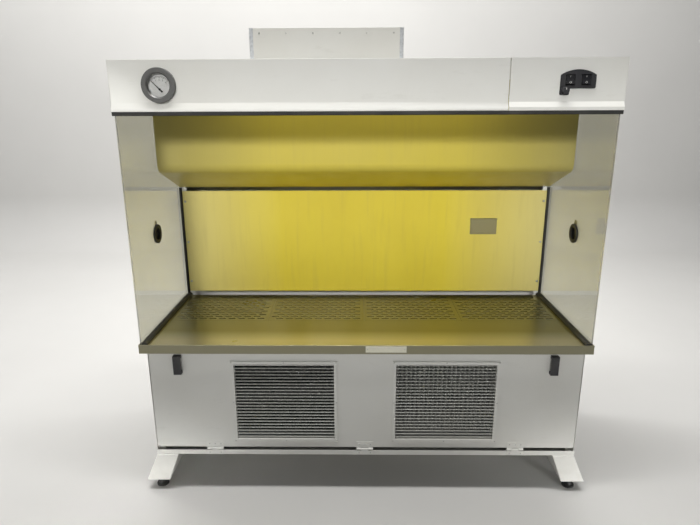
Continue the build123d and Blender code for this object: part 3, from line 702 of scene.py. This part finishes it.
def box_fittings():
    """Corner angles and screws on the roof box, and the collar's screws."""
    low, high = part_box("exhaust_box")
    mesh = bmesh.new()
    proud = 0.0010
    leg = 0.014
    for x, way_x in ((low.x, -1), (high.x, 1)):
        for y, way_y in ((low.y, -1), (high.y, 1)):
            out_x, in_x = x + way_x * proud, x - way_x * leg
            out_y, in_y = y + way_y * proud, y - way_y * leg
            plate(mesh, (min(out_x, in_x), min(y, out_y), low.z),
                  (max(out_x, in_x), max(y, out_y), high.z))
            plate(mesh, (min(x, out_x), min(out_y, in_y), low.z),
                  (max(x, out_x), max(out_y, in_y), high.z))
    piece_of("box_angles", mesh, zinc, HOOD, smooth=False)
    places = []
    for z in (low.z + 0.02, high.z - 0.02):
        for x in steps(low.x + 0.04, high.x - 0.04, 6):
            places += [((x, low.y, z), FRONTWARD), ((x, high.y, z), REARWARD)]
        for y in steps(low.y + 0.04, high.y - 0.04, 4):
            places += [((low.x, y, z), (-1, 0, 0)), ((high.x, y, z), (1, 0, 0))]
    low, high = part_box("duct_collar")
    middle = (low + high) / 2
    ring = (high.x - low.x) / 2 - 0.012
    for n in range(8):
        angle = math.radians(22.5 + 45 * n)
        at = (middle.x + ring * math.cos(angle), middle.y + ring * math.sin(angle), high.z)
        places.append((at, UPWARD))
    screws("box_screws", places, SMALL_SCREW, HOOD, steel_small)


def rear_strips():
    """Joint strips over the rear panel's two seams, with their screws."""
    mesh = bmesh.new()
    places = []
    outer = rear + 0.0014
    for x in (-0.305, 0.305):
        plate(mesh, (x - 0.022, rear, base_high + 0.010),
              (x + 0.022, outer, header_high - 0.034), 0.0005)
        for z in steps(base_high + 0.05, header_high - 0.08, 7):
            places += [((x + side * 0.013, outer, z), REARWARD) for side in (-1, 1)]
    piece_of("rear_strips", mesh, white_high, HOOD, smooth=False)
    screws("strip_screws", places, SMALL_SCREW, HOOD, steel_small)


def access_screws():
    """Screws in the grille frames and in both leaves of each hinge."""
    places = []
    inset = 0.004
    for name in ("grille_left", "grille_right"):
        low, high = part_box(name)
        middle = (low + high) / 2
        for z in (low.z + inset, middle.z, high.z - inset):
            places += [((x, low.y, z), FRONTWARD) for x in (low.x + inset, high.x - inset)]
        places += [((middle.x, low.y, z), FRONTWARD) for z in (low.z + inset, high.z - inset)]
    low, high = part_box("hinge_moving_leaves")
    leaves = [low.x + 0.035, (low.x + high.x) / 2, high.x - 0.035]
    leaf_face = front + 0.024
    for x in leaves:
        places += [((x + shift, leaf_face, high.z - 0.011), FRONTWARD)
                   for shift in (-0.024, 0, 0.024)]
    screws("access_screws", places, LEAF_SCREW, "access_panel", steel_small)
    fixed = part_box("hinge_fixed_leaves")[0]
    places = [((x + shift, fixed.y, fixed.z + 0.008), FRONTWARD)
              for x in leaves for shift in (-0.024, 0.024)]
    screws("hinge_screws", places, LEAF_SCREW, HOOD, steel_small)


DIAL_START = -45.0
DIAL_SWEEP = 90.0
DIAL_TICKS = 20
TICKS_PER_NUMBER = 5
TICK_OUTER = 0.0445
LINE_OUTER = 0.0451
NUMBER_RADIUS = 0.0325
NUMBER_SIZE = 0.0085
PRINT_LIFT = Vector((0, -0.00015, 0))


def dial_ray(share):
    """The way a pointer would point after a share of the scale, from 0 to 1."""
    angle = math.radians(DIAL_START + DIAL_SWEEP * share)
    return Vector((math.sin(angle), 0, math.cos(angle)))


def print_quad(mesh, corners):
    """One flat four-cornered mark."""
    mesh.faces.new([mesh.verts.new(corner) for corner in corners])


def print_number(mesh, text, at):
    """A flat figure facing the user, centred on a point."""
    figure = bpy.data.curves.new("number", "FONT")
    figure.body = text
    figure.size = NUMBER_SIZE
    figure.align_x, figure.align_y = "CENTER", "CENTER"
    holder = bpy.data.objects.new("number", figure)
    flat = bpy.data.meshes.new_from_object(holder)
    flat.transform(Matrix.Translation(at) @ Matrix.Rotation(math.radians(90), 4, "X"))
    mesh.from_mesh(flat)
    bpy.data.objects.remove(holder)
    bpy.data.meshes.remove(flat)


def gauge_face():
    """The white dial with its scale, numbered from 0 to 4, behind the gauge's glass."""
    low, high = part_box("gauge_lens")
    centre = Vector(((low.x + high.x) / 2, front + 0.005, (low.z + high.z) / 2))
    radius = (high.x - low.x) / 2
    disc = [(radius - 0.0006, 0.0), (radius - 0.0006, 0.0004), (radius - 0.001, 0.0006)]
    mesh = bmesh.new()
    lathe(mesh, disc, centre, FRONTWARD, 72)
    piece_of("gauge_dial", mesh, dial_white, HOOD, smooth=False)
    pivot = centre + Vector((0, -0.0006, -0.014))
    printed = pivot + PRINT_LIFT
    mesh = bmesh.new()
    for n in range(DIAL_TICKS + 1):
        numbered = n % TICKS_PER_NUMBER == 0
        inner, wide = (0.0385, 0.0007) if numbered else (0.0410, 0.0004)
        ray = dial_ray(n / DIAL_TICKS)
        across = Vector((ray.z, 0, -ray.x)) * wide
        a, b = printed + ray * inner, printed + ray * TICK_OUTER
        print_quad(mesh, (a - across, a + across, b + across, b - across))
        if n < DIAL_TICKS:
            far = dial_ray((n + 1) / DIAL_TICKS)
            arc = ((ray, TICK_OUTER), (far, TICK_OUTER), (far, LINE_OUTER), (ray, LINE_OUTER))
            print_quad(mesh, [printed + way * r for way, r in arc])
    numbers = DIAL_TICKS // TICKS_PER_NUMBER
    for n in range(numbers + 1):
        print_number(mesh, str(n), printed + dial_ray(n / numbers) * NUMBER_RADIUS)
    thicken(mesh, 0.0001)
    piece_of("gauge_scale", mesh, print_black, HOOD, smooth=False)


def worktop_tag():
    """A blank cream plate riveted to the worktop's front edge."""
    mesh = bmesh.new()
    face = front - 0.0012
    plate(mesh, (0.002, face, 0.6635), (0.166, front, 0.6905), 0.0005)
    piece_of("front_tag", mesh, tag_cream, HOOD, smooth=False)
    places = [((x, face, 0.677), FRONTWARD) for x in (0.009, 0.159)]
    screws("tag_rivets", places, 0.0024, HOOD, steel_small)


def lamp_caps():
    """Metal end caps on the lamp tube."""
    low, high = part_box("lamp_tube")
    middle = (low + high) / 2
    radius = (high.z - low.z) / 2 + 0.0004
    profile = [(radius * 0.6, 0.0), (radius, 0.0015), (radius, 0.021),
               (radius * 0.97, 0.0225), (radius * 0.9, 0.023)]
    mesh = bmesh.new()
    for x, way in ((low.x, 1), (high.x, -1)):
        lathe(mesh, profile, (x - way * 0.0003, middle.y, middle.z), (way, 0, 0), 32)
    piece_of("lamp_caps", mesh, steel_small, HOOD)


def control_marks():
    """A pointer line on the knob, and a bar and a ring on each rocker."""
    low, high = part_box("speed_knob")
    x, z = (low.x + high.x) / 2, (low.z + high.z) / 2
    mesh = bmesh.new()
    plate(mesh, (x - 0.0008, low.y - 0.0003, z + 0.0025),
          (x + 0.0008, low.y + 0.0006, z + 0.0095), 0.0002)
    piece_of("knob_line", mesh, print_white, "speed_knob", smooth=False)
    for name in ("rocker_blower", "rocker_light"):
        low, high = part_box(name)
        x, z = (low.x + high.x) / 2, (low.z + high.z) / 2
        lean = Matrix.Rotation(math.radians(-10), 4, "X")
        tilt = Matrix.Translation((x, front + 0.001, z)) @ lean
        mesh = bmesh.new()
        ring = bmesh.ops.create_circle(mesh, radius=0.0026, segments=24)["verts"]
        edges = list({e for v in ring for e in v.link_edges})
        outer = bmesh.ops.extrude_edge_only(mesh, edges=edges)["geom"]
        grown = [v for v in outer if isinstance(v, bmesh.types.BMVert)]
        for vert in grown:
            vert.co = vert.co * 1.35
        for vert in ring + grown:
            vert.co = Vector((vert.co.x, -0.0063, vert.co.y - 0.0100))
        thicken(mesh, 0.0003)
        plate(mesh, (-0.0007, -0.0066, 0.0075), (0.0007, -0.0059, 0.0125))
        bmesh.ops.transform(mesh, matrix=tilt, verts=mesh.verts)
        mark = name.replace("rocker", "mark")
        piece_of(mark, mesh, print_white, name, smooth=False)


panel_screws()
box_fittings()
rear_strips()
access_screws()
gauge_face()
worktop_tag()
lamp_caps()
control_marks()
